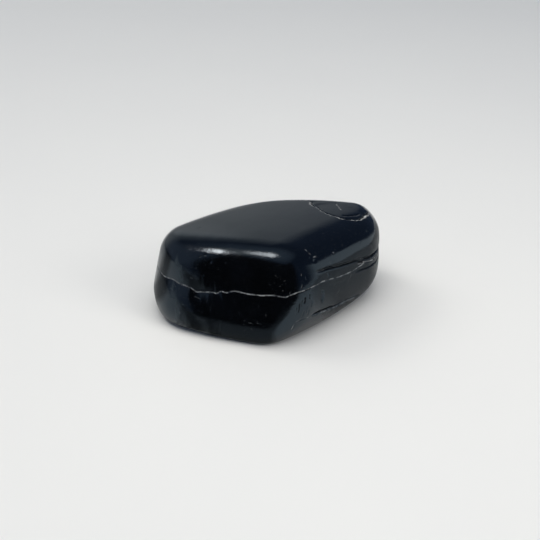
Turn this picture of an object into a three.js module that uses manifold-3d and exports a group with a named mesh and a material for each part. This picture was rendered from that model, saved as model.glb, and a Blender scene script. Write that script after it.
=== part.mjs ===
// Tumbled black tourmaline: a rounded block with worn faces, open seams and a flat resting face.
// Millimetres, +Z up, front of the stone towards -Y.
import * as THREE from 'three';
import { mergeVertices } from 'three/addons/utils/BufferGeometryUtils.js';
import Module from 'manifold-3d';

// Overall form
const CENTRE = new THREE.Vector3(0, 0, 10.5);
const CROWN_RADIUS = 160;
const EDGE_BLEND = 2.2;
const MESH_DETAIL = 17;
const HALF_EXTENT = new THREE.Vector3(27, 18, 13);

// Worn faces: turn and tilt of the face in degrees, its distance from the centre, its edge radius
const FACES = {
  top: { turn: 0, tilt: 90, distance: 11, edge: 4.5 },
  bottom: { turn: 0, tilt: -90, distance: 12, edge: 6 },
  front: { turn: -112, tilt: 20, distance: 14.6, edge: 5 },
  frontLeft: { turn: -150, tilt: 13, distance: 24.6, edge: 5 },
  right: { turn: -51, tilt: 1, distance: 16.6, edge: 5 },
  rightBevel: { turn: -52, tilt: 45, distance: 17, edge: 5 },
  rightUnder: { turn: -55, tilt: -31, distance: 18, edge: 3.6 },
  rightEnd: { turn: 1, tilt: 1, distance: 27.4, edge: 4.8 },
  endUnder: { turn: -16, tilt: -40, distance: 25.6, edge: 5 },
  backRight: { turn: 47.5, tilt: 11.5, distance: 31.2, edge: 4.8 },
  back: { turn: 93.5, tilt: 5, distance: 18.3, edge: 4.4 },
  backLeft: { turn: 113.5, tilt: 11.5, distance: 18.2, edge: 4.5 },
  leftEnd: { turn: 179.5, tilt: 13, distance: 25.8, edge: 3.9 },
};

// Open seams on the sides: turn round the stone in degrees, height above the table
const GIRDLE_SEAM = [
  [-222, 11.2], [-205, 10.7], [-192, 11.2], [-182, 11.4], [-168, 11.6], [-153, 10.7], [-140, 11.2],
  [-127, 12.1], [-105, 12.2], [-85, 12.4], [-67, 13.3], [-49, 13.5], [-27, 12.4], [-6, 12.2],
  [2, 11.4], [24, 11.9], [46, 11.3],
];
const UPPER_SEAM = [[-54, 16.3], [-41, 15.6], [-25, 14.8], [-10, 13.7]];
const LOWER_SEAM = [[-74, 6.1], [-51, 5.9], [-25, 4.7], [-12, 3.9]];

// Curved crack of the chipped corner on the top: x and y
const CHIP_CRACK = [[11.3, 12.5], [12, 9.6], [14.2, 5.4], [16.6, 3.6], [20, 3.6], [22.4, 5.4], [24.4, 9]];

const GIRDLE_WIDTH = 0.8;
const GIRDLE_DEPTH = 0.5;
const SEAM_WIDTH = 0.6;
const SEAM_DEPTH = 0.35;
const CHIP_WIDTH = 0.9;
const CHIP_DEPTH = 0.5;
const SEAM_STEP = 1.6;
const SEAM_LIFT = 0.4;
const TABLE_CUT = { width: 80, depth: 60, height: 10 };

const wasm = await Module();
wasm.setup();

function unitVector(turn, tilt) {
  const a = THREE.MathUtils.degToRad(turn);
  const e = THREE.MathUtils.degToRad(tilt);
  return new THREE.Vector3(Math.cos(e) * Math.cos(a), Math.cos(e) * Math.sin(a), Math.sin(e));
}

// Each worn face is a piece of a large ball, so that it bulges a little
const crowns = Object.values(FACES).map(({ turn, tilt, distance, edge }) => ({
  middle: unitVector(turn, tilt).multiplyScalar(distance - CROWN_RADIUS).add(CENTRE),
  edge,
}));

// Below 0 inside the stone, above 0 outside: neighbouring faces melt into each other over their edge radius
function levelAt(point) {
  let sum = 0;
  for (const { middle, edge } of crowns) {
    const outside = point.distanceTo(middle) - CROWN_RADIUS;
    sum += Math.max(0, 1 + outside / edge) ** EDGE_BLEND;
  }
  return sum ** (1 / EDGE_BLEND) - 1;
}

// Where a ray that starts inside the stone leaves it
function surfacePoint(start, direction) {
  let near = 0;
  let far = 60;
  for (let i = 0; i < 40; i += 1) {
    const middle = (near + far) / 2;
    const inside = levelAt(start.clone().addScaledVector(direction, middle)) < 0;
    if (inside) near = middle;
    else far = middle;
  }
  return start.clone().addScaledVector(direction, near);
}

function surfaceNormal(point) {
  const reach = 0.05;
  const slope = ['x', 'y', 'z'].map((axis) => {
    const ahead = point.clone();
    const behind = point.clone();
    ahead[axis] += reach;
    behind[axis] -= reach;
    return levelAt(ahead) - levelAt(behind);
  });
  return new THREE.Vector3(...slope).normalize();
}

function sidePoint([turn, height]) {
  return surfacePoint(new THREE.Vector3(0, 0, height), unitVector(turn, 0));
}

function topPoint([x, y]) {
  return surfacePoint(new THREE.Vector3(x, y, CENTRE.z), new THREE.Vector3(0, 0, 1));
}

function tumbledBlock() {
  const geometry = new THREE.IcosahedronGeometry(1, MESH_DETAIL);
  const positions = geometry.getAttribute('position');
  const point = new THREE.Vector3();
  for (let i = 0; i < positions.count; i += 1) {
    point.fromBufferAttribute(positions, i).multiply(HALF_EXTENT).normalize();
    positions.setXYZ(i, ...surfacePoint(CENTRE, point));
  }
  return geometry;
}

// A V-shaped cutter that follows the surface and runs out to nothing at both ends
function seamCutter(points, width, depth) {
  const path = new THREE.CatmullRomCurve3(points);
  const count = Math.ceil(path.getLength() / SEAM_STEP);
  const corners = [];
  for (let i = 0; i <= count; i += 1) {
    const along = path.getPointAt(i / count);
    const outward = along.clone().sub(CENTRE).normalize();
    const place = surfacePoint(CENTRE, outward);
    const normal = surfaceNormal(place);
    const side = new THREE.Vector3().crossVectors(path.getTangentAt(i / count), normal).normalize();
    const fade = Math.min(1, 0.3 + 0.35 * Math.min(i, count - i));
    const spread = fade * width * (0.5 + SEAM_LIFT / (2 * depth));
    const rim = place.clone().addScaledVector(normal, SEAM_LIFT * fade);
    corners.push(rim.clone().addScaledVector(side, spread));
    corners.push(place.clone().addScaledVector(normal, -depth * fade));
    corners.push(rim.clone().addScaledVector(side, -spread));
  }
  const faces = [0, 2, 1];
  for (let i = 0; i < count; i += 1) {
    for (let k = 0; k < 3; k += 1) {
      const a = 3 * i + k;
      const b = 3 * i + ((k + 1) % 3);
      faces.push(a, b, a + 3, b, b + 3, a + 3);
    }
  }
  faces.push(3 * count, 3 * count + 1, 3 * count + 2);
  const geometry = new THREE.BufferGeometry().setFromPoints(corners);
  geometry.setIndex(faces);
  return geometry;
}

function tableCutter() {
  const { width, depth, height } = TABLE_CUT;
  return new THREE.BoxGeometry(width, depth, height).translate(0, 0, -height / 2);
}

function toSolid(geometry) {
  const bare = geometry.clone();
  bare.deleteAttribute('normal');
  bare.deleteAttribute('uv');
  const welded = mergeVertices(bare, 1e-5);
  const vertProperties = new Float32Array(welded.getAttribute('position').array);
  const triVerts = new Uint32Array(welded.index.array);
  return new wasm.Manifold(new wasm.Mesh({ numProp: 3, vertProperties, triVerts }));
}

function toGeometry(solid) {
  const { vertProperties, triVerts } = solid.getMesh();
  const geometry = new THREE.BufferGeometry();
  geometry.setAttribute('position', new THREE.BufferAttribute(vertProperties, 3));
  geometry.setIndex(new THREE.BufferAttribute(triVerts, 1));
  geometry.computeVertexNormals();
  return geometry;
}

const cutters = [
  tableCutter(),
  seamCutter(GIRDLE_SEAM.map(sidePoint), GIRDLE_WIDTH, GIRDLE_DEPTH),
  seamCutter(UPPER_SEAM.map(sidePoint), SEAM_WIDTH, SEAM_DEPTH),
  seamCutter(LOWER_SEAM.map(sidePoint), SEAM_WIDTH, SEAM_DEPTH),
  seamCutter(CHIP_CRACK.map(topPoint), CHIP_WIDTH, CHIP_DEPTH),
];

let solid = toSolid(tumbledBlock());
for (const cutter of cutters) solid = solid.subtract(toSolid(cutter));

// The origin is under the middle of the stone, on its resting face
const stoneGeometry = toGeometry(solid);
stoneGeometry.computeBoundingBox();
const middle = stoneGeometry.boundingBox.getCenter(new THREE.Vector3());
stoneGeometry.translate(-middle.x, -middle.y, -stoneGeometry.boundingBox.min.z);

const tourmaline = new THREE.MeshStandardMaterial({ color: 0x0b0d11, roughness: 0.16, metalness: 0 });
const stone = new THREE.Mesh(stoneGeometry, tourmaline);
stone.name = 'stone';

const group = new THREE.Group();
group.name = 'tumbled_black_tourmaline';
group.add(stone);

export default group;
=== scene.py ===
"""Tumbled black tourmaline on a pale table.

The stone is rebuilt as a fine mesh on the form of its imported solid. Its seams, chip, ledge, scratches and
pits are cut into that mesh, and one polished mineral finish dresses it. Lengths are in millimetres until the
mesh is handed to Blender, which works in metres.
"""

import logging
import math
from dataclasses import dataclass, field
from enum import Enum

import bmesh
import bpy
import numpy as np
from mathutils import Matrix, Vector, kdtree, noise


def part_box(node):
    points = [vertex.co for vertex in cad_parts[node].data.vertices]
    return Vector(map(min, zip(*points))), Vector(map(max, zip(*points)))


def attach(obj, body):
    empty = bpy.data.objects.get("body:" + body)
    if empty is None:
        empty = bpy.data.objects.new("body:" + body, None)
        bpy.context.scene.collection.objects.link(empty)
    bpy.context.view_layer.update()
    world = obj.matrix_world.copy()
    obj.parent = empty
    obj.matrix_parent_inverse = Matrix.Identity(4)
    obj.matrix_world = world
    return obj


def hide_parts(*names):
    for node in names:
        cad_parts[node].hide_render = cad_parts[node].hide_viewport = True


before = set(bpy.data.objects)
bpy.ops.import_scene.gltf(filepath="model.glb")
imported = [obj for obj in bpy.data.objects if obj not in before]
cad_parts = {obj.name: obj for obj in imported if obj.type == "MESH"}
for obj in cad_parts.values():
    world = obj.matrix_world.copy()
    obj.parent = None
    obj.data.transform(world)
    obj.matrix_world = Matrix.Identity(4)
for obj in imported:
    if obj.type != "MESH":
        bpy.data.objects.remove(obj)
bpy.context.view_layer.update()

LOG = logging.getLogger("tourmaline")
MM = 0.001
Colour = tuple[float, float, float]
Triple = tuple[float, float, float]


class Where(Enum):
    """How a mark on the stone is placed."""

    SIDE = "turn round the stone in degrees and height above the table in mm"
    TOP = "x and y in mm, seen from above"


def unit_vector(turn: float, tilt: float) -> np.ndarray:
    """Gives the direction at an angle round the stone and an angle above the horizon.

    Args:
        turn: degrees from +X towards +Y.
        tilt: degrees above the horizon.

    Returns:
        A vector of length 1.
    """
    a, e = math.radians(turn), math.radians(tilt)
    return np.array((math.cos(e) * math.cos(a), math.cos(e) * math.sin(a), math.sin(e)))


def rows_normalised(vectors: np.ndarray) -> np.ndarray:
    """Gives every row of an array the length 1."""
    return vectors / np.linalg.norm(vectors, axis=-1, keepdims=True)


def wave(points: np.ndarray, length: float, seed: float) -> np.ndarray:
    """Smooth noise between about -1 and 1.

    Args:
        points: places in mm, one a row.
        length: distance in mm over which the noise changes.
        seed: shift that tells one noise from another.

    Returns:
        One value for each point.
    """
    shift = Vector((seed, -0.7 * seed, 1.3 * seed))
    return np.array([noise.noise(Vector(p) / length + shift) for p in points])


@dataclass(frozen=True)
class WornFace:
    """One face of the block that tumbling has worn into a slight bulge."""

    turn: float
    tilt: float
    distance: float
    edge: float


@dataclass(frozen=True)
class TumbledForm:
    """The rounded block that the solid has too, before any mark is cut into it."""

    centre: Triple = (0.0, 0.0, 10.5)
    crown_radius: float = 160.0
    blend: float = 2.2
    faces: tuple[WornFace, ...] = (
        WornFace(0, 90, 11.0, 4.5),
        WornFace(0, -90, 12.0, 6.0),
        WornFace(-112, 20, 14.6, 5.0),
        WornFace(-150, 13, 24.6, 5.0),
        WornFace(-51, 1, 16.6, 5.0),
        WornFace(-52, 45, 17.0, 5.0),
        WornFace(-55, -31, 18.0, 3.6),
        WornFace(1, 1, 27.4, 4.8),
        WornFace(-16, -40, 25.6, 5.0),
        WornFace(47.5, 11.5, 31.2, 4.8),
        WornFace(93.5, 5, 18.3, 4.4),
        WornFace(113.5, 11.5, 18.2, 4.5),
        WornFace(179.5, 13, 25.8, 3.9),
    )

    FARTHEST = 60.0
    HALVINGS = 34
    SLOPE_REACH = 0.05

    def level(self, points: np.ndarray) -> np.ndarray:
        """Below 0 inside the block and above 0 outside it, for each point."""
        total = np.zeros(len(points))
        for face in self.faces:
            outward = unit_vector(face.turn, face.tilt)
            middle = np.array(self.centre) + outward * (face.distance - self.crown_radius)
            outside = np.linalg.norm(points - middle, axis=1) - self.crown_radius
            total += np.maximum(0.0, 1.0 + outside / face.edge) ** self.blend
        return total ** (1.0 / self.blend) - 1.0

    def leave(self, starts: np.ndarray, directions: np.ndarray) -> np.ndarray:
        """Finds where rays that start inside the block leave it, or meet the table below it.

        Args:
            starts: start of each ray, in mm.
            directions: direction of each ray.

        Returns:
            One point for each ray.
        """
        near = np.zeros(len(starts))
        far = np.full(len(starts), self.FARTHEST)
        for _ in range(self.HALVINGS):
            middle = (near + far) / 2
            inside = self.level(starts + directions * middle[:, None]) < 0
            near = np.where(inside, middle, near)
            far = np.where(inside, far, middle)
        down = np.minimum(directions[:, 2], -1e-9)
        return starts + directions * np.minimum(near, -starts[:, 2] / down)[:, None]

    def from_centre(self, towards: np.ndarray) -> np.ndarray:
        """Moves points along the line from the block's centre until they lie on its surface."""
        starts = np.broadcast_to(np.array(self.centre), towards.shape)
        return self.leave(starts, rows_normalised(towards - starts))

    def place(self, where: Where, spots: np.ndarray) -> np.ndarray:
        """Puts marks on the surface.

        Args:
            where: how the marks are placed.
            spots: two numbers a mark, as `where` says.

        Returns:
            One surface point for each mark.
        """
        spots = np.asarray(spots, dtype=float)
        if where is Where.TOP:
            starts = np.column_stack((spots, np.full(len(spots), self.centre[2])))
            return self.leave(starts, np.tile((0.0, 0.0, 1.0), (len(spots), 1)))
        starts = np.column_stack((np.zeros((len(spots), 2)), spots[:, 1]))
        return self.leave(starts, np.array([unit_vector(turn, 0) for turn in spots[:, 0]]))

    def normals(self, points: np.ndarray) -> np.ndarray:
        """Outward normals of the block at points on its surface."""
        steps = self.SLOPE_REACH * np.eye(3)
        slopes = [self.level(points + step) - self.level(points - step) for step in steps]
        return rows_normalised(np.column_stack(slopes))


@dataclass(frozen=True)
class SurfaceLine:
    """A crack, seam or scratch that runs over the stone, with its sizes in mm.

    It is a groove of a half width and a depth that wanders a little. Its bruise is pale from 0 up, held at 1,
    has a width, may lie to one side of the groove, and is broken into brighter and dimmer bits. The ground on
    one side may drop and rise again over a length. A wide swale may dip along a span of the line.
    """

    name: str
    where: Where
    points: tuple[tuple[float, float], ...]
    half_width: float
    depth: float
    pale: float = 0.0
    pale_width: float = 0.13
    pale_shift: float = 0.0
    wander: float = 0.06
    drop: float = 0.0
    drop_length: float = 1.0
    drop_side: int = 1
    swale: float = 0.0
    swale_width: float = 2.4
    swale_span: tuple[float, float] = (0.0, 1.0)
    broken: float = 1.1
    seed: float = 1.0


@dataclass
class Trace:
    """A surface line laid out on the form in close steps."""

    line: SurfaceLine
    places: np.ndarray
    sides: np.ndarray
    along: np.ndarray
    strength: np.ndarray
    brightness: np.ndarray

    STEP = 0.06
    KNOT_PIECES = 24
    SWAYS = ((2.2, 1.0, 0), (0.8, 0.7, 3), (0.32, 0.5, 5))
    END_SHARE = 0.12
    DIMMEST = 0.06

    @classmethod
    def lay(cls, line: SurfaceLine, form: TumbledForm) -> "Trace":
        """Lays a line on the form as a smooth curve that wanders a little.

        Args:
            line: the line.
            form: the block that carries it.

        Returns:
            The line in close steps.
        """
        knots = form.place(line.where, np.array(line.points))
        rough = cls.curve(knots, cls.KNOT_PIECES)
        lengths = np.concatenate(([0.0], np.cumsum(np.linalg.norm(np.diff(rough, axis=0), axis=1))))
        along = np.arange(0.0, lengths[-1], cls.STEP)
        curve = np.column_stack([np.interp(along, lengths, rough[:, k]) for k in range(3)])
        places = form.from_centre(curve)
        normals = form.normals(places)
        sides = rows_normalised(np.cross(np.gradient(places, axis=0), normals))
        run = np.column_stack((along, np.full((len(along), 2), 7.3 * line.seed)))
        sway = sum(size * wave(run, length, line.seed + shift) for length, size, shift in cls.SWAYS)
        places = form.from_centre(places + sides * (line.wander * sway)[:, None])
        sides = rows_normalised(np.cross(np.gradient(places, axis=0), normals))
        ends = np.minimum(along, lengths[-1] - along) / (cls.END_SHARE * lengths[-1] + 0.05)
        fade = np.clip(ends, 0.0, 1.0) ** 0.7
        gaps = wave(run, 1.5, line.seed + 9) + line.broken * wave(run, 0.4, line.seed + 11)
        brightness = np.clip(0.5 + gaps, cls.DIMMEST, 1)
        return cls(line, places, sides, along / lengths[-1], fade, fade * brightness)

    @staticmethod
    def curve(knots: np.ndarray, pieces: int) -> np.ndarray:
        """Runs a smooth curve through points.

        Args:
            knots: the points.
            pieces: number of steps between two points.

        Returns:
            Points on the curve.
        """
        padded = np.vstack((2 * knots[0] - knots[1], knots, 2 * knots[-1] - knots[-2]))
        t = np.linspace(0.0, 1.0, pieces, endpoint=False)[:, None]
        spans = []
        for a, b, c, d in zip(padded, padded[1:], padded[2:], padded[3:]):
            spans.append(b + 0.5 * t * (c - a + t * (2 * a - 5 * b + 4 * c - d + t * (3 * (b - c) + d - a))))
        return np.vstack((*spans, knots[-1:]))

    def near(self, points: np.ndarray, reach: float) -> tuple[np.ndarray, np.ndarray, np.ndarray]:
        """Measures the points that lie near the line.

        Args:
            points: places on the stone.
            reach: largest distance that counts.

        Returns:
            Rows of the near points, their signed distance from the line, and their nearest step of the line.
        """
        low, high = self.places.min(axis=0) - reach, self.places.max(axis=0) + reach
        rows = np.flatnonzero(np.all((points > low) & (points < high), axis=1))
        tree = kdtree.KDTree(len(self.places))
        for i, place in enumerate(self.places):
            tree.insert(place, i)
        tree.balance()
        found = [tree.find(points[row]) for row in rows]
        steps = np.array([hit[1] for hit in found], dtype=int)
        gaps = np.array([hit[2] for hit in found])
        keep = gaps < reach
        rows, steps, gaps = rows[keep], steps[keep], gaps[keep]
        side = np.einsum("ij,ij->i", points[rows] - self.places[steps], self.sides[steps])
        return rows, np.where(side < 0, -gaps, gaps), steps


@dataclass(frozen=True)
class Spot:
    """A pit in the stone, which may be pale."""

    where: Where
    place: tuple[float, float]
    radius: float
    depth: float
    pale: float = 0.0


GIRDLE = SurfaceLine(
    "girdle seam",
    Where.SIDE,
    (
        (-222, 11.2), (-205, 10.7), (-192, 11.2), (-182, 11.4), (-174, 11.3), (-168, 11.7), (-164, 11.4),
        (-160, 11.3), (-156, 11.0), (-153, 10.6), (-149, 10.7), (-144, 11.1), (-140, 11.1), (-137, 11.7),
        (-132, 11.7), (-127, 12.2), (-121, 12.2), (-113, 12.1), (-105, 12.2), (-93, 12.5), (-85, 12.3),
        (-78, 12.8), (-67, 13.3), (-58, 13.5), (-49, 13.5), (-37, 12.9), (-27, 12.4), (-18, 12.1),
        (-11, 12.1), (-6, 12.2), (2, 11.4), (24, 11.9), (46, 11.3),
    ),
    half_width=0.1, depth=0.14, pale=0.78, broken=0.9, pale_width=0.1, wander=0.1,
    drop=0.06, drop_length=1.6, swale=0.5, swale_width=2.4, swale_span=(0.15, 0.39), seed=1.0,
)
CHIP = SurfaceLine(
    "chip crack",
    Where.TOP,
    (
        (11.1, 13.2), (11.3, 11.5), (12.1, 9.6), (13.2, 7.8), (14.0, 6.4), (14.7, 5.3), (16.3, 4.7),
        (18.3, 4.3), (20.3, 4.5), (21.8, 5.5), (23.0, 6.8), (24.0, 8.2), (24.6, 9.6),
    ),
    half_width=0.22, depth=0.6, pale=1.4, pale_width=0.18, pale_shift=0.3, wander=0.6, broken=0.5,
    drop=0.26, drop_length=3.0, drop_side=-1, seed=2.0,
)
SEAMS = (
    GIRDLE,
    CHIP,
    SurfaceLine(
        "upper seam", Where.SIDE,
        ((-55, 16.3), (-42, 15.7), (-30, 15.1), (-19, 14.4), (-10, 13.7), (-3, 12.8), (6, 12.3), (22, 11.9)),
        half_width=0.24, depth=0.6, pale=0.1, wander=0.14, drop=0.06, drop_length=1.2, swale=0.12,
        swale_width=0.9, swale_span=(0.55, 1.0), seed=3.0,
    ),
    SurfaceLine(
        "seam lens", Where.SIDE, ((-13, 13.5), (-10, 13.1), (-6, 12.3)),
        half_width=0.34, depth=0.8, pale=0.2, pale_shift=0.5, wander=0.05, seed=4.0,
    ),
    SurfaceLine(
        "seam under the girdle", Where.SIDE, ((-17, 11.4), (-13, 11.2), (-5, 10.5), (2, 10.1), (12, 9.8)),
        half_width=0.18, depth=0.42, wander=0.12, seed=5.0,
    ),
    SurfaceLine(
        "ledge start", Where.SIDE, ((-77, 6.1), (-70, 6.2), (-60, 5.9)),
        half_width=0.1, depth=0.12, pale=0.2, wander=0.08, seed=15.0,
    ),
    SurfaceLine(
        "ledge", Where.SIDE, ((-62, 6.0), (-51, 5.8), (-34, 5.0), (-25, 4.7), (-15, 4.1), (-6, 3.3)),
        half_width=0.34, depth=0.9, pale=0.2, pale_shift=0.5, wander=0.18, drop=0.1, drop_length=1.2,
        seed=6.0,
    ),
    SurfaceLine(
        "inner chip arc", Where.TOP, ((17.4, 5.8), (18.8, 5.8), (20.7, 6.6), (22.0, 7.6)),
        half_width=0.2, depth=0.16, pale=0.22, pale_shift=0.28, pale_width=0.1, wander=0.2, drop=0.05,
        drop_length=1.2, drop_side=-1, seed=7.0,
    ),
    SurfaceLine(
        "short chip crack", Where.TOP, ((17.0, 12.8), (17.3, 10.5), (17.8, 8.6)),
        half_width=0.09, depth=0.1, pale=0.4, wander=0.14, seed=8.0,
    ),
    SurfaceLine(
        "corner nick", Where.TOP, ((6.6, -9.4), (7.2, -10.0), (7.8, -10.6)),
        half_width=0.1, depth=0.1, pale=0.2, wander=0.1, seed=9.0,
    ),
    SurfaceLine(
        "corner nick across", Where.SIDE, ((-53, 18.9), (-50, 18.9), (-48, 18.8)),
        half_width=0.12, depth=0.1, pale=0.24, wander=0.1, seed=10.0,
    ),
    SurfaceLine(
        "dark dent", Where.SIDE, ((-52, 11.8), (-51, 10.0), (-52, 8.4)),
        half_width=0.32, depth=0.45, wander=0.25, seed=11.0,
    ),
    SurfaceLine(
        "dent over the girdle", Where.SIDE, ((-44, 15.0), (-43, 13.7)),
        half_width=0.22, depth=0.13, wander=0.15, seed=12.0,
    ),
    SurfaceLine(
        "dent under the girdle", Where.SIDE, ((-38, 11.2), (-31, 10.9), (-26, 10.6)),
        half_width=0.3, depth=0.1, wander=0.25, seed=13.0,
    ),
)
# Short pale scratches: start, end and paleness
TICKS = (
    ((-78, 5.6), (-80, 4.0), 0.7),
    ((-72, 7.1), (-73, 6.2), 0.55),
    ((-70, 14.6), (-71, 13.7), 0.4),
    ((-69, 16.9), (-69.5, 16.3), 0.45),
    ((-66, 16.0), (-66, 15.3), 0.4),
    ((-91.5, 16.8), (-89, 16.3), 0.4),
    ((-97.5, 14.8), (-95, 14.6), 0.45),
    ((-106, 6.1), (-102.5, 5.9), 0.5),
    ((-112.5, 5.9), (-110, 5.9), 0.3),
    ((-105, 10.1), (-105.5, 9.5), 0.3),
    ((-99, 8.4), (-99.2, 7.8), 0.4),
    ((-153.5, 9.5), (-149.5, 9.2), 0.3),
    ((-159, 13.3), (-157, 13.3), 0.35),
    ((-158.5, 5.2), (-157.8, 4.8), 0.5),
    ((-158.3, 7.3), (-157.5, 7.1), 0.45),
    ((-167, 9.8), (-165, 9.3), 0.3),
    ((-140, 17.9), (-139, 17.6), 0.25),
    ((-158, 18.2), (-159, 17.8), 0.2),
)
# Short dark fibres below the front corner: start and end
FIBRES = (
    ((-64, 12.2), (-65, 11.0)),
    ((-76, 9.9), (-76.5, 7.9)),
    ((-73.5, 10.6), (-74.5, 8.4)),
    ((-71, 11.4), (-72, 9.6)),
    ((-68.5, 11.8), (-69.5, 10.2)),
    ((-67, 9.6), (-68, 7.6)),
    ((-70, 8.6), (-71, 7.0)),
    ((-62, 10.4), (-63, 8.8)),
    ((-65, 8.4), (-66, 6.9)),
)
SPOTS = (
    Spot(Where.SIDE, (-53, 18.3), 0.3, 0.16),
    Spot(Where.SIDE, (-56, 19.0), 0.2, 0.12),
    Spot(Where.SIDE, (4, 17.9), 0.24, 0.14),
    Spot(Where.SIDE, (-30, 18.0), 0.2, 0.06, 0.1),
    Spot(Where.TOP, (-15.7, 2.1), 0.24, 0.08),
)
# Clouds of fine flecks: place, reach in mm and amount
FLECK_CLOUDS = (
    ((-88, 14.4), 2.6, 0.9),
    ((-80, 12.6), 2.0, 0.7),
    ((-168, 9.6), 5.5, 0.8),
    ((-150, 15.5), 4.5, 0.4),
    ((-150, 4.5), 6.0, 0.5),
    ((-30, 17.6), 7.0, 0.5),
    ((-45, 9.5), 8.0, 0.7),
    ((-112, 5.2), 5.0, 0.5),
    ((60, 9.0), 6.0, 0.5),
    ((140, 12.0), 5.0, 0.4),
)


@dataclass
class MarkSet:
    """All the marks of the stone: those seen in the picture, and loose scratches and pits."""

    seed: int = 11
    scratch_count: int = 18
    pit_count: int = 34
    thinnest: float = 0.15
    tick_tone: float = 0.36

    def lines(self) -> list[SurfaceLine]:
        """The seams, scratches and fibres seen in the picture, and loose scratches, mostly out of sight.

        Returns:
            Every line to lay on the stone.
        """
        rng = np.random.default_rng(self.seed)
        lines = list(SEAMS)
        for i, (start, end, pale) in enumerate(TICKS):
            lines.append(
                SurfaceLine(
                    f"tick {i}", Where.SIDE, (start, end), half_width=0.07, depth=0.05,
                    pale=self.tick_tone * pale, pale_width=0.07, wander=0.04, seed=20.0 + i,
                )
            )
        for i, (start, end) in enumerate(FIBRES):
            lines.append(
                SurfaceLine(
                    f"fibre {i}", Where.SIDE, (start, end), half_width=rng.uniform(0.07, 0.14),
                    depth=rng.uniform(0.08, 0.24), wander=0.1, seed=40.0 + i,
                )
            )
        for i in range(self.scratch_count):
            turn, height = rng.uniform(-40, 190), rng.uniform(3.5, 18.5)
            run, rise = rng.normal(0, 4.0), rng.normal(0, 1.1)
            lines.append(
                SurfaceLine(
                    f"scratch {i}", Where.SIDE, ((turn, height), (turn + run, height + rise)),
                    half_width=0.08, depth=0.03, pale=rng.uniform(0.0, 0.12), pale_width=0.08, wander=0.05,
                    seed=60.0 + i,
                )
            )
        return lines

    def spots(self) -> list[Spot]:
        """The pits seen in the picture and loose pits all round.

        Returns:
            Every spot to sink into the stone.
        """
        rng = np.random.default_rng(self.seed + 1)
        spots = list(SPOTS)
        for _ in range(self.pit_count):
            place = (rng.uniform(-180, 180), rng.uniform(3.0, 19.5))
            spots.append(Spot(Where.SIDE, place, rng.uniform(0.12, 0.24), rng.uniform(0.02, 0.07)))
        return spots

    def flecks(self, points: np.ndarray, form: TumbledForm) -> np.ndarray:
        """How thickly fine pale flecks lie at points of the stone.

        Args:
            points: places on the stone.
            form: the block that carries them.

        Returns:
            A value from 0 to 1 for each point.
        """
        amount = np.full(len(points), self.thinnest)
        for place, reach, most in FLECK_CLOUDS:
            gap = np.linalg.norm(points - form.place(Where.SIDE, np.array([place])), axis=1)
            amount = np.maximum(amount, most * np.exp(-((gap / reach) ** 2)))
        return amount


@dataclass
class FineMesh:
    """Triangles on the block, made smaller where marks are cut."""

    form: TumbledForm
    subdivisions: int = 7
    spread: Triple = (27.0, 18.0, 13.0)
    bands: tuple[tuple[float, float], ...] = ((0.8, 0.24), (0.36, 0.125))
    points: np.ndarray = field(init=False)
    triangles: np.ndarray = field(init=False)

    def __post_init__(self) -> None:
        """Starts from an even ball that is pressed onto the block."""
        ball = bmesh.new()
        bmesh.ops.create_icosphere(ball, subdivisions=self.subdivisions, radius=1.0)
        ball.verts.index_update()
        directions = np.array([v.co for v in ball.verts]) * self.spread
        self.triangles = np.array([[v.index for v in f.verts] for f in ball.faces])
        ball.free()
        self.points = self.form.from_centre(directions + np.array(self.form.centre))

    def refine(self, places: np.ndarray) -> None:
        """Splits the triangles near marks, once for each band.

        Args:
            places: points along the marks.
        """
        tree = kdtree.KDTree(len(places))
        for i, place in enumerate(places):
            tree.insert(place, i)
        tree.balance()
        for reach, longest in self.bands:
            self.split(tree, reach, longest)

    def split(self, tree: kdtree.KDTree, reach: float, longest: float) -> None:
        """Halves each long edge that lies near a mark.

        Args:
            tree: points along the marks.
            reach: distance from a mark within which edges are halved.
            longest: length above which an edge is halved.
        """
        pairs = np.sort(self.triangles[:, [[0, 1], [1, 2], [2, 0]]].reshape(-1, 2), axis=1)
        edges, rows = np.unique(pairs, axis=0, return_inverse=True)
        ends = self.points[edges]
        middles = ends.mean(axis=1)
        long = np.linalg.norm(ends[:, 0] - ends[:, 1], axis=1) > longest
        chosen = [i for i in np.flatnonzero(long) if tree.find(middles[i])[2] < reach]
        new = np.full(len(edges), -1)
        new[chosen] = len(self.points) + np.arange(len(chosen))
        self.points = np.vstack((self.points, self.form.from_centre(middles[chosen])))
        self.triangles = self.divide(self.triangles, new[rows.reshape(-1, 3)])

    @staticmethod
    def divide(triangles: np.ndarray, middles: np.ndarray) -> np.ndarray:
        """Cuts triangles at the middles of their halved edges.

        Args:
            triangles: corners, three a row.
            middles: the new corner on each edge, or -1 where the edge stays whole.

        Returns:
            The corners of the triangles after the cuts.
        """
        cut = middles >= 0
        count = cut.sum(axis=1)
        parts = [triangles[count == 0]]
        for turn in range(3):
            t, m, c = (np.roll(a, -turn, axis=1) for a in (triangles, middles, cut))
            one = (count == 1) & c[:, 0]
            parts.append(np.column_stack((t[one, 0], m[one, 0], t[one, 2])))
            parts.append(np.column_stack((m[one, 0], t[one, 1], t[one, 2])))
            two = (count == 2) & ~c[:, 2]
            parts.append(np.column_stack((m[two, 0], t[two, 1], m[two, 1])))
            parts.append(np.column_stack((t[two, 0], m[two, 0], m[two, 1])))
            parts.append(np.column_stack((t[two, 0], m[two, 1], t[two, 2])))
        t, m = triangles[count == 3], middles[count == 3]
        parts.append(np.column_stack((t[:, 0], m[:, 0], m[:, 2])))
        parts.append(np.column_stack((m[:, 0], t[:, 1], m[:, 1])))
        parts.append(np.column_stack((m[:, 2], m[:, 1], t[:, 2])))
        parts.append(m)
        return np.vstack(parts)


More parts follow.
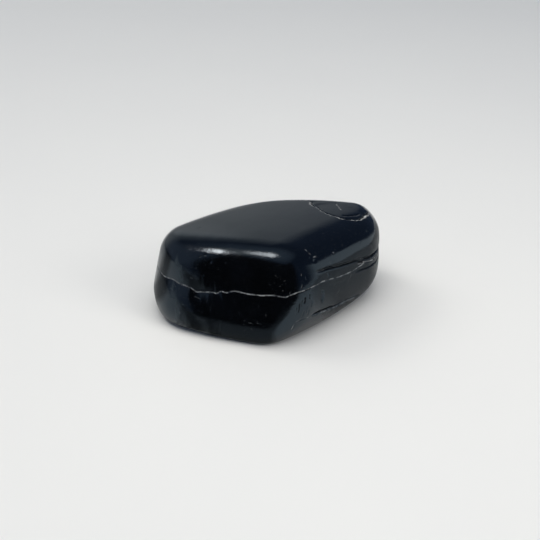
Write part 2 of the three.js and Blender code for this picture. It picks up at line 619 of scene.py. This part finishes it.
class Graph:
    """A short way to add linked nodes to a node tree."""

    def __init__(self, tree: bpy.types.NodeTree) -> None:
        """Takes an empty node tree."""
        self.tree = tree

    def add(self, kind: str, inputs: dict | None = None, **settings: object) -> bpy.types.Node:
        """Adds a node.

        Args:
            kind: Blender's name of the node.
            inputs: value or output socket for each input, by name or number.
            settings: properties of the node itself.

        Returns:
            The new node.
        """
        node = self.tree.nodes.new(kind)
        for name, value in settings.items():
            setattr(node, name, value)
        for name, value in (inputs or {}).items():
            if isinstance(value, bpy.types.NodeSocket):
                self.tree.links.new(value, node.inputs[name])
            else:
                node.inputs[name].default_value = value
        return node

    def math(self, operation: str, a: object, b: object = 0.0) -> bpy.types.NodeSocket:
        """One calculation with two values."""
        return self.add("ShaderNodeMath", {0: a, 1: b}, operation=operation).outputs[0]

    def fit(
        self, value: object, low: float, high: float, to_low: float, to_high: float
    ) -> bpy.types.NodeSocket:
        """Moves a value from one range to another, and holds it within that range."""
        limits = {"Value": value, "From Min": low, "From Max": high, "To Min": to_low, "To Max": to_high}
        return self.add("ShaderNodeMapRange", limits, clamp=True).outputs[0]

    def mix(self, factor: object, first: object, second: object) -> bpy.types.NodeSocket:
        """Mixes two colours."""
        node = self.add("ShaderNodeMix", {0: factor, 6: first, 7: second}, data_type="RGBA")
        return node.outputs[2]

    def dot(self, first: object, second: object) -> bpy.types.NodeSocket:
        """How far two directions agree."""
        node = self.add("ShaderNodeVectorMath", {0: first, 1: second}, operation="DOT_PRODUCT")
        return node.outputs["Value"]


def blank_material(name: str) -> tuple[bpy.types.Material, Graph]:
    """Makes a material with no nodes.

    Args:
        name: the material's name.

    Returns:
        The material and the graph of its nodes.
    """
    material = bpy.data.materials.new(name)
    material.use_nodes = True
    material.node_tree.nodes.clear()
    return material, Graph(material.node_tree)


def grain_group() -> bpy.types.NodeTree:
    """Builds the grain that the stone and the table share: soft cloud, fine grain and scattered flecks.

    Returns:
        The node group.
    """
    group = bpy.data.node_groups.new("Mineral grain", "ShaderNodeTree")
    socket = group.interface.new_socket
    socket("Vector", in_out="INPUT", socket_type="NodeSocketVector")
    socket("Cloud Scale", in_out="INPUT", socket_type="NodeSocketFloat")
    socket("Grain Scale", in_out="INPUT", socket_type="NodeSocketFloat")
    socket("Cloud", in_out="OUTPUT", socket_type="NodeSocketFloat")
    socket("Grain", in_out="OUTPUT", socket_type="NodeSocketFloat")
    socket("Flecks", in_out="OUTPUT", socket_type="NodeSocketFloat")
    graph = Graph(group)
    given = graph.add("NodeGroupInput").outputs
    cloud = graph.add("ShaderNodeTexNoise", {"Vector": given[0], "Scale": given[1], "Detail": 3.0})
    grain = graph.add("ShaderNodeTexNoise", {"Vector": given[0], "Scale": given[2], "Detail": 2.0})
    torn = {"Vector": given[0], "Scale": given[2], "Detail": 3.0, "Distortion": 0.8}
    flakes = graph.add("ShaderNodeTexNoise", torn).outputs[0]
    flecks = graph.fit(flakes, 0.64, 0.72, 0.0, 1.0)
    graph.add("NodeGroupOutput", {0: cloud.outputs[0], 1: grain.outputs[0], 2: flecks})
    return group


@dataclass(frozen=True)
class PolishedTourmaline:
    """Black tourmaline after tumbling: near black, glossy, faintly lined, with pale bruises at its cracks.

    Scales are in repeats a metre, and the heights of the fine relief in mm.
    """

    black: Colour = (0.0012, 0.0014, 0.0018)
    navy: Colour = (0.0018, 0.0023, 0.0034)
    bruise: Colour = (0.74, 0.75, 0.73)
    refraction: float = 1.58
    mirror_tint: Colour = (0.62, 0.82, 1.0)
    gloss_low: float = 0.07
    gloss_high: float = 0.13
    bruise_roughness: float = 0.5
    cloud_scale: float = 160.0
    grain_scale: float = 2200.0
    fleck_tone: float = 0.075
    fleck_depth: float = 0.02
    line_stretch: Triple = (130.0, 130.0, 2300.0)
    line_tilt: Triple = (0.04, -0.03, 0.1)
    line_height: float = 0.01
    grain_height: float = 0.013

    def material(self, grain: bpy.types.NodeTree) -> bpy.types.Material:
        """Builds the finish.

        Args:
            grain: the shared grain group.

        Returns:
            The material.
        """
        material, graph = blank_material("Polished tourmaline")
        place = graph.add("ShaderNodeTexCoord").outputs["Object"]
        given = {"Vector": place, "Cloud Scale": self.cloud_scale, "Grain Scale": self.grain_scale}
        cloud, fine, flecks = graph.add("ShaderNodeGroup", given, node_tree=grain).outputs
        slant = {"Vector": place, "Rotation": self.line_tilt, "Scale": self.line_stretch}
        slanted = graph.add("ShaderNodeMapping", slant).outputs[0]
        lines = graph.add("ShaderNodeTexNoise", {"Vector": slanted, "Scale": 1.0, "Detail": 3.0}).outputs[0]
        pale = graph.add("ShaderNodeAttribute", attribute_name="pale").outputs["Fac"]
        thick = graph.add("ShaderNodeAttribute", attribute_name="flecks").outputs["Fac"]
        broken = graph.math("MULTIPLY", pale, graph.fit(fine, 0.3, 0.6, 0.5, 1.0))
        dust = graph.math("MULTIPLY", flecks, thick)
        bruised = graph.math("MAXIMUM", broken, graph.math("MULTIPLY", dust, self.fleck_tone))
        body = graph.mix(graph.fit(cloud, 0.35, 0.7, 0.0, 1.0), (*self.black, 1.0), (*self.navy, 1.0))
        polish = graph.fit(cloud, 0.3, 0.7, self.gloss_low, self.gloss_high)
        worn = graph.math("MULTIPLY", pale, self.bruise_roughness)
        sunk = graph.math("MULTIPLY", dust, -self.fleck_depth * MM)
        height = graph.math("ADD", graph.math("MULTIPLY", lines, self.line_height * MM), sunk)
        height = graph.math("ADD", height, graph.math("MULTIPLY", fine, self.grain_height * MM))
        bump = graph.add("ShaderNodeBump", {"Height": height, "Strength": 1.0, "Distance": 1.0})
        shader = graph.add(
            "ShaderNodeBsdfPrincipled",
            {
                "Base Color": graph.mix(bruised, body, (*self.bruise, 1.0)),
                "Roughness": graph.math("ADD", polish, worn),
                "IOR": self.refraction,
                "Specular Tint": (*self.mirror_tint, 1.0),
                "Normal": bump.outputs[0],
            },
        )
        graph.add("ShaderNodeOutputMaterial", {0: shader.outputs[0]})
        return material


@dataclass(frozen=True)
class PaleTable:
    """Matt off-white paper under the stone."""

    tone: Colour = (0.80, 0.81, 0.79)
    shade: Colour = (0.78, 0.79, 0.775)
    roughness: float = 0.7
    cloud_scale: float = 25.0
    grain_scale: float = 900.0

    def material(self, grain: bpy.types.NodeTree) -> bpy.types.Material:
        """Builds the finish.

        Args:
            grain: the shared grain group.

        Returns:
            The material.
        """
        material, graph = blank_material("Pale paper")
        place = graph.add("ShaderNodeTexCoord").outputs["Object"]
        given = {"Vector": place, "Cloud Scale": self.cloud_scale, "Grain Scale": self.grain_scale}
        cloud = graph.add("ShaderNodeGroup", given, node_tree=grain).outputs["Cloud"]
        tone = graph.mix(cloud, (*self.shade, 1.0), (*self.tone, 1.0))
        matt = {"Base Color": tone, "Roughness": self.roughness, "Specular IOR Level": 0.0}
        shader = graph.add("ShaderNodeBsdfPrincipled", matt)
        graph.add("ShaderNodeOutputMaterial", {0: shader.outputs[0]})
        return material


@dataclass
class Stone:
    """The tumbled stone."""

    form: TumbledForm = field(default_factory=TumbledForm)
    marks: MarkSet = field(default_factory=MarkSet)
    swell: tuple[tuple[float, float], ...] = ((14.0, 0.05), (5.0, 0.018), (2.2, 0.008), (0.9, 0.0022))
    foot_height: float = 0.8
    least_reach: float = 0.8
    drop_edge: float = 0.12
    swale_ends: float = 0.08
    swale_bottom: float = 0.15
    swale_reach: float = 2.5
    swale_power: float = 2.5
    node: str = "stone"
    slot: str = "tourmaline"

    def build(self) -> bpy.types.Object:
        """Makes the fine mesh and stands it where the solid is.

        Returns:
            The stone's object.
        """
        mesh = FineMesh(self.form)
        traces = [Trace.lay(line, self.form) for line in self.marks.lines()]
        spots = self.marks.spots()
        centres = np.vstack([self.form.place(spot.where, np.array([spot.place])) for spot in spots])
        mesh.refine(np.vstack([trace.places[::2] for trace in traces] + [centres]))
        low, high = mesh.points.min(axis=0), mesh.points.max(axis=0)
        sunk, pale = self.relief(mesh.points, traces, spots, centres)
        foot = np.clip(mesh.points[:, 2] / self.foot_height, 0.0, 1.0)
        points = mesh.points + self.form.normals(mesh.points) * (sunk * foot)[:, None]
        points[:, 2] = np.maximum(points[:, 2], 0.0)
        solid_low, solid_high = (np.array(corner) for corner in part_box(self.node))
        points = points * MM + (solid_low + solid_high) / 2 - (low + high) / 2 * MM
        data = bpy.data.meshes.new("tumbled stone")
        data.from_pydata(points, [], mesh.triangles)
        data.shade_smooth()
        data.attributes.new("pale", "FLOAT", "POINT").data.foreach_set("value", pale)
        flecks = self.marks.flecks(mesh.points, self.form)
        data.attributes.new("flecks", "FLOAT", "POINT").data.foreach_set("value", flecks)
        stone = bpy.data.objects.new("tumbled_stone", data)
        bpy.context.scene.collection.objects.link(stone)
        LOG.info("stone: %d triangles, %d lines, %d spots", len(mesh.triangles), len(traces), len(spots))
        return stone

    def relief(
        self, points: np.ndarray, traces: list[Trace], spots: list[Spot], centres: np.ndarray
    ) -> tuple[np.ndarray, np.ndarray]:
        """Works out how far each point is sunk or raised, and how pale it is.

        Args:
            points: the mesh's points on the block.
            traces: the lines on the stone.
            spots: the pits.
            centres: place of each spot.

        Returns:
            Height above the block in mm, and paleness from 0 to 1, for each point.
        """
        height = sum(size * wave(points, length, 2.0 + length) for length, size in self.swell)
        pale = np.zeros(len(points))
        for trace in traces:
            line = trace.line
            rows, offset, steps = trace.near(points, self.reach(line))
            groove = line.depth * np.exp(-((offset / line.half_width) ** 2))
            beyond = line.drop_side * offset
            edge = np.clip(0.5 + beyond / self.drop_edge, 0, 1)
            step = line.drop * edge * np.exp(-np.maximum(beyond, 0) / line.drop_length)
            first, last = line.swale_span
            along = trace.along[steps]
            span = np.clip(np.minimum(along - first, last - along) / self.swale_ends, 0, 1)
            across = np.hypot(offset, self.swale_bottom) / (self.swale_reach * line.swale_width)
            valley = np.clip(1.0 - across, 0, 1) ** self.swale_power
            height[rows] -= trace.strength[steps] * (groove + step) + line.swale * span * valley
            band = np.exp(-(((offset - line.pale_shift) / line.pale_width) ** 2))
            glow = line.pale * trace.brightness[steps] * band
            pale[rows] = np.maximum(pale[rows], np.minimum(glow, 1.0))
        for spot, centre in zip(spots, centres):
            gap = np.linalg.norm(points - centre, axis=1)
            bowl = np.exp(-((gap / spot.radius) ** 2))
            height -= spot.depth * bowl
            pale = np.maximum(pale, spot.pale * bowl)
        return height, pale

    def reach(self, line: SurfaceLine) -> float:
        """How far from a line the stone is changed by it, in mm."""
        drop = 3 * line.drop_length if line.drop else 0
        swale = self.swale_reach * line.swale_width if line.swale else 0
        return max(4 * line.half_width, drop, swale, self.least_reach)

    def dress(self, stone: bpy.types.Object, finish: PolishedTourmaline, grain: bpy.types.NodeTree) -> None:
        """Gives the stone its finish and ties it to the solid.

        Args:
            stone: the stone's object.
            finish: its finish.
            grain: the shared grain group.
        """
        stone.data.materials.append(finish.material(grain))
        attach(stone, "root")
        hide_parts(self.node)


@dataclass(frozen=True)
class SoftLamp:
    """A soft round lamp over the table that the stone does not mirror."""

    name: str
    turn: float
    tilt: float
    distance: float
    width: float
    power: float
    tint: Colour = (1.0, 0.955, 0.90)

    def build(self, aim: Vector) -> bpy.types.Object:
        """Hangs the lamp.

        Args:
            aim: the point that the lamp faces.

        Returns:
            The lamp's object.
        """
        data = bpy.data.lights.new(self.name, "AREA")
        data.shape = "DISK"
        data.size = self.width
        data.energy = self.power
        data.color = self.tint
        lamp = bpy.data.objects.new(self.name, data)
        away = Vector(unit_vector(self.turn, self.tilt))
        lamp.location = aim + away * self.distance
        lamp.rotation_euler = away.to_track_quat("Z", "Y").to_euler()
        lamp.visible_camera = False
        lamp.visible_glossy = False
        bpy.context.scene.collection.objects.link(lamp)
        return lamp


def mirrored_sheet(
    name: str, corners: list[tuple], faces: list[tuple], spread: list[tuple], material: bpy.types.Material
) -> bpy.types.Object:
    """Makes a sheet that only polished surfaces mirror.

    Args:
        name: the sheet's name.
        corners: its corners in metres.
        faces: the corners of each face.
        spread: place of each corner on the sheet, for its material.
        material: its material.

    Returns:
        The sheet's object.
    """
    data = bpy.data.meshes.new(name)
    data.from_pydata(corners, [], faces)
    layer = data.uv_layers.new(name="sheet")
    for loop in data.loops:
        layer.data[loop.index].uv = spread[loop.vertex_index]
    data.materials.append(material)
    sheet = bpy.data.objects.new(name, data)
    for ray in ("camera", "diffuse", "transmission", "volume_scatter", "shadow"):
        setattr(sheet, f"visible_{ray}", False)
    bpy.context.scene.collection.objects.link(sheet)
    return sheet


@dataclass(frozen=True)
class Card:
    """A card bent round the stone that only its polish mirrors, with soft edges and a lip on the table.

    Radius, height and ground are in metres. Lean, droop, skew, the lip's fade and the soft edges are shares
    of the card's width or height. The lip is a dark strip on the table near the stone's foot that the polish
    mirrors in place of the table there: painted shade in the reflection.
    """

    name: str
    first_turn: float
    last_turn: float
    radius: float
    height: float
    lean: float
    soft_first: float
    soft_last: float
    soft_top: float
    tone: Colour = (0.008, 0.009, 0.011)
    strength: float = 1.0
    droop: float = 0.0
    # Darkness of the lip, a dark strip on the table that the polish mirrors: painted shade near the stone's
    # foot
    lip: float = 0.0
    lip_fade: float = 0.02
    lip_skew: float = 0.0
    lip_radius: float = 0.012
    ground: float = 0.0008
    steps: int = 32

    def build(self) -> bpy.types.Object:
        """Stands the card on the table.

        Returns:
            The card's object.
        """
        lip = (self.lip_radius, self.ground, -1.0)
        rows = (lip, (self.radius, self.ground, 0.0), (self.radius, self.height, 1.0))
        corners, spread, faces = [], [], []
        for i in range(self.steps + 1):
            across = i / self.steps
            way = unit_vector(self.first_turn + across * (self.last_turn - self.first_turn), 0)
            for radius, height, up in rows:
                corners.append((way[0] * radius, way[1] * radius, height))
                spread.append((across, up))
        for i in range(self.steps):
            a, b = 3 * i, 3 * i + 3
            faces += [(a, b, b + 1, a + 1), (a + 1, b + 1, b + 2, a + 2)]
        return mirrored_sheet(self.name, corners, faces, spread, self.material())

    def material(self) -> bpy.types.Material:
        """Builds the card's tone, which fades out at its edges.

        Returns:
            The material.
        """
        material, graph = blank_material(self.name)
        card = graph.add("ShaderNodeTexCoord").outputs["UV"]
        across, up, _ = graph.add("ShaderNodeSeparateXYZ", {0: card}).outputs
        below_top = graph.math("SUBTRACT", 1.0, graph.math("MAXIMUM", up, 0.0))
        start = graph.math("MULTIPLY", below_top, self.lean)
        first = graph.fit(graph.math("SUBTRACT", across, start), 0.0, self.soft_first, 0.0, 1.0)
        skew = graph.math("MULTIPLY", graph.math("MINIMUM", up, 0.0), -self.lip_skew)
        last = graph.fit(graph.math("ADD", across, skew), 1.0 - self.soft_last, 1.0, 1.0, 0.0)
        height = graph.math("ADD", up, graph.math("MULTIPLY", across, self.droop))
        top = graph.fit(height, 1.0 - self.soft_top, 1.0, self.strength, 0.0)
        # The lip: a dark strip on the table, mirrored by the polish as painted shade near the stone's foot
        foot = graph.fit(up, -self.lip_fade, 0.0, self.lip, 1.0)
        sides, ends = graph.math("MULTIPLY", first, last), graph.math("MULTIPLY", top, foot)
        mask = graph.math("MULTIPLY", sides, ends)
        clear = graph.add("ShaderNodeBsdfTransparent").outputs[0]
        solid = graph.add("ShaderNodeEmission", {"Color": (*self.tone, 1.0)}).outputs[0]
        shader = graph.add("ShaderNodeMixShader", {0: mask, 1: clear, 2: solid})
        graph.add("ShaderNodeOutputMaterial", {0: shader.outputs[0]})
        return material


@dataclass(frozen=True)
class Glow:
    """A soft round patch of the room that the stone mirrors."""

    turn: float
    tilt: float
    inner: float
    outer: float
    colour: Colour

    def mask(self, graph: Graph, towards: bpy.types.NodeSocket) -> bpy.types.NodeSocket:
        """Marks the patch.

        Args:
            graph: the room's nodes.
            towards: direction into the room.

        Returns:
            A mask from 0 to 1.
        """
        middle = tuple(unit_vector(self.turn, self.tilt))
        rim, core = math.cos(math.radians(self.outer)), math.cos(math.radians(self.inner))
        return graph.fit(graph.dot(towards, middle), rim, core, 0.0, 1.0)


@dataclass(frozen=True)
class Window:
    """A bright soft window that only the polish mirrors, as a streak; half sizes in degrees."""

    name: str
    turn: float
    tilt: float
    wide: float
    high: float
    colour: Colour
    roll: float = 0.0
    distance: float = 0.6
    core: float = 0.1

    def build(self) -> bpy.types.Object:
        """Hangs the window over the stone.

        Returns:
            The window's object.
        """
        middle = unit_vector(self.turn, self.tilt) * self.distance
        level, upright = unit_vector(self.turn + 90, 0), unit_vector(self.turn, self.tilt + 90)
        cosine, sine = math.cos(math.radians(self.roll)), math.sin(math.radians(self.roll))
        level, upright = level * cosine + upright * sine, upright * cosine - level * sine
        level = level * self.distance * math.tan(math.radians(self.wide))
        upright = upright * self.distance * math.tan(math.radians(self.high))
        spread = [(-1.0, -1.0), (1.0, -1.0), (1.0, 1.0), (-1.0, 1.0)]
        corners = [tuple(middle + a * level + b * upright) for a, b in spread]
        return mirrored_sheet(self.name, corners, [(0, 1, 2, 3)], spread, self.material())

    def material(self) -> bpy.types.Material:
        """Builds the window's light, which fades from its middle to its edge.

        Returns:
            The material.
        """
        material, graph = blank_material(self.name)
        place = graph.add("ShaderNodeTexCoord").outputs["UV"]
        mask = graph.fit(graph.dot(place, place), self.core, 1.0, 1.0, 0.0)
        clear = graph.add("ShaderNodeBsdfTransparent").outputs[0]
        light = graph.add("ShaderNodeEmission", {"Color": (*self.colour, 1.0)}).outputs[0]
        shader = graph.add("ShaderNodeMixShader", {0: mask, 1: clear, 2: light})
        graph.add("ShaderNodeOutputMaterial", {0: shader.outputs[0]})
        return material


@dataclass
class Studio:
    """Table, lamps, cards, windows, room and camera."""

    table_size: float = 8.0
    aim: Triple = (-0.00003, -0.00067, 0.010)
    camera_turn: float = -6.0
    camera_tilt: float = 30.0
    camera_distance: float = 0.25
    field_of_view: float = 28.0
    room: Colour = (0.062, 0.092, 0.155)
    glows: tuple[Glow, ...] = (
        Glow(113, 18, 24, 44, (0.54, 0.56, 0.57)),
        Glow(108, 33, 4, 17, (0.93, 0.94, 0.94)),
        Glow(-174, 25, 22, 42, (0.27, 0.31, 0.39)),
        Glow(180, 84, 8, 26, (0.34, 0.40, 0.48)),
        Glow(-174, 70, 2, 11, (0.9, 0.85, 0.8)),
    )
    windows: tuple[Window, ...] = (
        Window("first window", -169.8, 61.2, 2.6, 8.6, (24.0, 19.6, 17.0), roll=50.5),
        Window("second window", -162.0, 78.4, 7.4, 9.2, (11.5, 9.5, 8.3), roll=21.0),
    )
    lamps: tuple[SoftLamp, ...] = (
        SoftLamp("lamp over the front", -92, 76, 0.257, 0.30, 0.38),
        SoftLamp("lamp behind the left", 146, 45, 0.70, 0.30, 1.0),
        SoftLamp("low lamp on the right", -35, 32, 0.60, 0.30, 0.95),
        SoftLamp("wide lamp above", 0, 90, 1.0, 1.50, 3.0),
    )
    cards: tuple[Card, ...] = (
        # Upright part: the dark things in front of the stone. Its lip darkens the table that the front
        # mirrors, as painted shade.
        Card(
            "front flag", -161, -61, 0.10, 0.22, 0.18, 0.035, 0.07, 0.20,
            lip=0.70, lip_fade=0.85, lip_skew=0.3,
        ),
        # Low dark band with a lip at the left: it darkens the table that the left end mirrors, as painted
        # shade.
        Card(
            "left flag", 152, 182, 0.10, 0.03, 0.0, 0.3, 0.3, 0.4,
            strength=0.7, lip=0.85, lip_fade=0.85, ground=0.0012,
        ),
        # Dark strip on the table at the front left: painted shade in the mirrored table.
        Card(
            "corner lip", -160, -132, 0.30, 0.002, 0.0, 0.35, 0.5, 0.5,
            strength=0.85, lip=1.0, ground=0.0014,
        ),
        Card(
            "pale wedge", -172, -155, 0.20, 0.13, 0.0, 0.2, 0.05, 0.2, (0.66, 0.69, 0.71),
            droop=1.0, ground=0.0016,
        ),
        Card("right wall", -40, 35, 0.20, 0.18, 0.0, 0.25, 0.2, 0.12, (0.80, 0.84, 0.86), droop=0.95),
        # Dark strip on the table at the right: painted shade in the table that the right face mirrors.
        Card("right lip", -42, 50, 0.19, 0.002, 0.0, 0.2, 0.1, 0.5, strength=0.5, lip=1.0, ground=0.0012),
    )
    outside: Colour = (0.62, 0.63, 0.63)

    def build(self, grain: bpy.types.NodeTree) -> None:
        """Sets up everything round the stone.

        Args:
            grain: the shared grain group.
        """
        self.table(grain)
        for lamp in self.lamps:
            lamp.build(Vector(self.aim))
        for sheet in (*self.cards, *self.windows):
            sheet.build()
        self.surroundings()
        self.camera()
        bpy.context.scene.view_settings.view_transform = "Standard"
        counts = len(self.lamps), len(self.cards), len(self.windows)
        LOG.info("studio: %d lamps, %d cards, %d windows", *counts)

    def table(self, grain: bpy.types.NodeTree) -> None:
        """Lays the pale table under the stone.

        Args:
            grain: the shared grain group.
        """
        half = self.table_size / 2
        corners = [(-half, -half, 0), (half, -half, 0), (half, half, 0), (-half, half, 0)]
        data = bpy.data.meshes.new("table")
        data.from_pydata(corners, [], [(0, 1, 2, 3)])
        table = bpy.data.objects.new("table", data)
        bpy.context.scene.collection.objects.link(table)
        table.data.materials.append(PaleTable().material(grain))

    def surroundings(self) -> None:
        """Paints the room round the table: dim blue, with paler patches behind, to the left and above."""
        world = bpy.data.worlds.new("room")
        bpy.context.scene.world = world
        world.use_nodes = True
        world.node_tree.nodes.clear()
        graph = Graph(world.node_tree)
        towards = graph.add("ShaderNodeTexCoord").outputs["Generated"]
        light = (*self.room, 1.0)
        for glow in self.glows:
            light = graph.mix(glow.mask(graph, towards), light, (*glow.colour, 1.0))
        seen = graph.add("ShaderNodeLightPath").outputs["Is Camera Ray"]
        colour = graph.mix(seen, light, (*self.outside, 1.0))
        background = graph.add("ShaderNodeBackground", {"Color": colour, "Strength": 1.0})
        graph.add("ShaderNodeOutputWorld", {0: background.outputs[0]})

    def camera(self) -> None:
        """Sets the camera where the picture was taken."""
        data = bpy.data.cameras.new("camera")
        data.sensor_width = 36.0
        data.angle = math.radians(self.field_of_view)
        data.clip_start = 0.005
        camera = bpy.data.objects.new("camera", data)
        back = -Vector(unit_vector(self.camera_turn + 90, -self.camera_tilt))
        camera.location = Vector(self.aim) + back * self.camera_distance
        camera.rotation_euler = back.to_track_quat("Z", "Y").to_euler()
        bpy.context.scene.collection.objects.link(camera)
        bpy.context.scene.camera = camera


def main() -> None:
    """Builds the stone and its studio."""
    logging.basicConfig(level=logging.INFO, format="%(name)s %(message)s")
    grain = grain_group()
    stone = Stone()
    piece = stone.build()
    stone.dress(piece, PolishedTourmaline(), grain)
    Studio().build(grain)


if __name__ == "__main__":
    main()
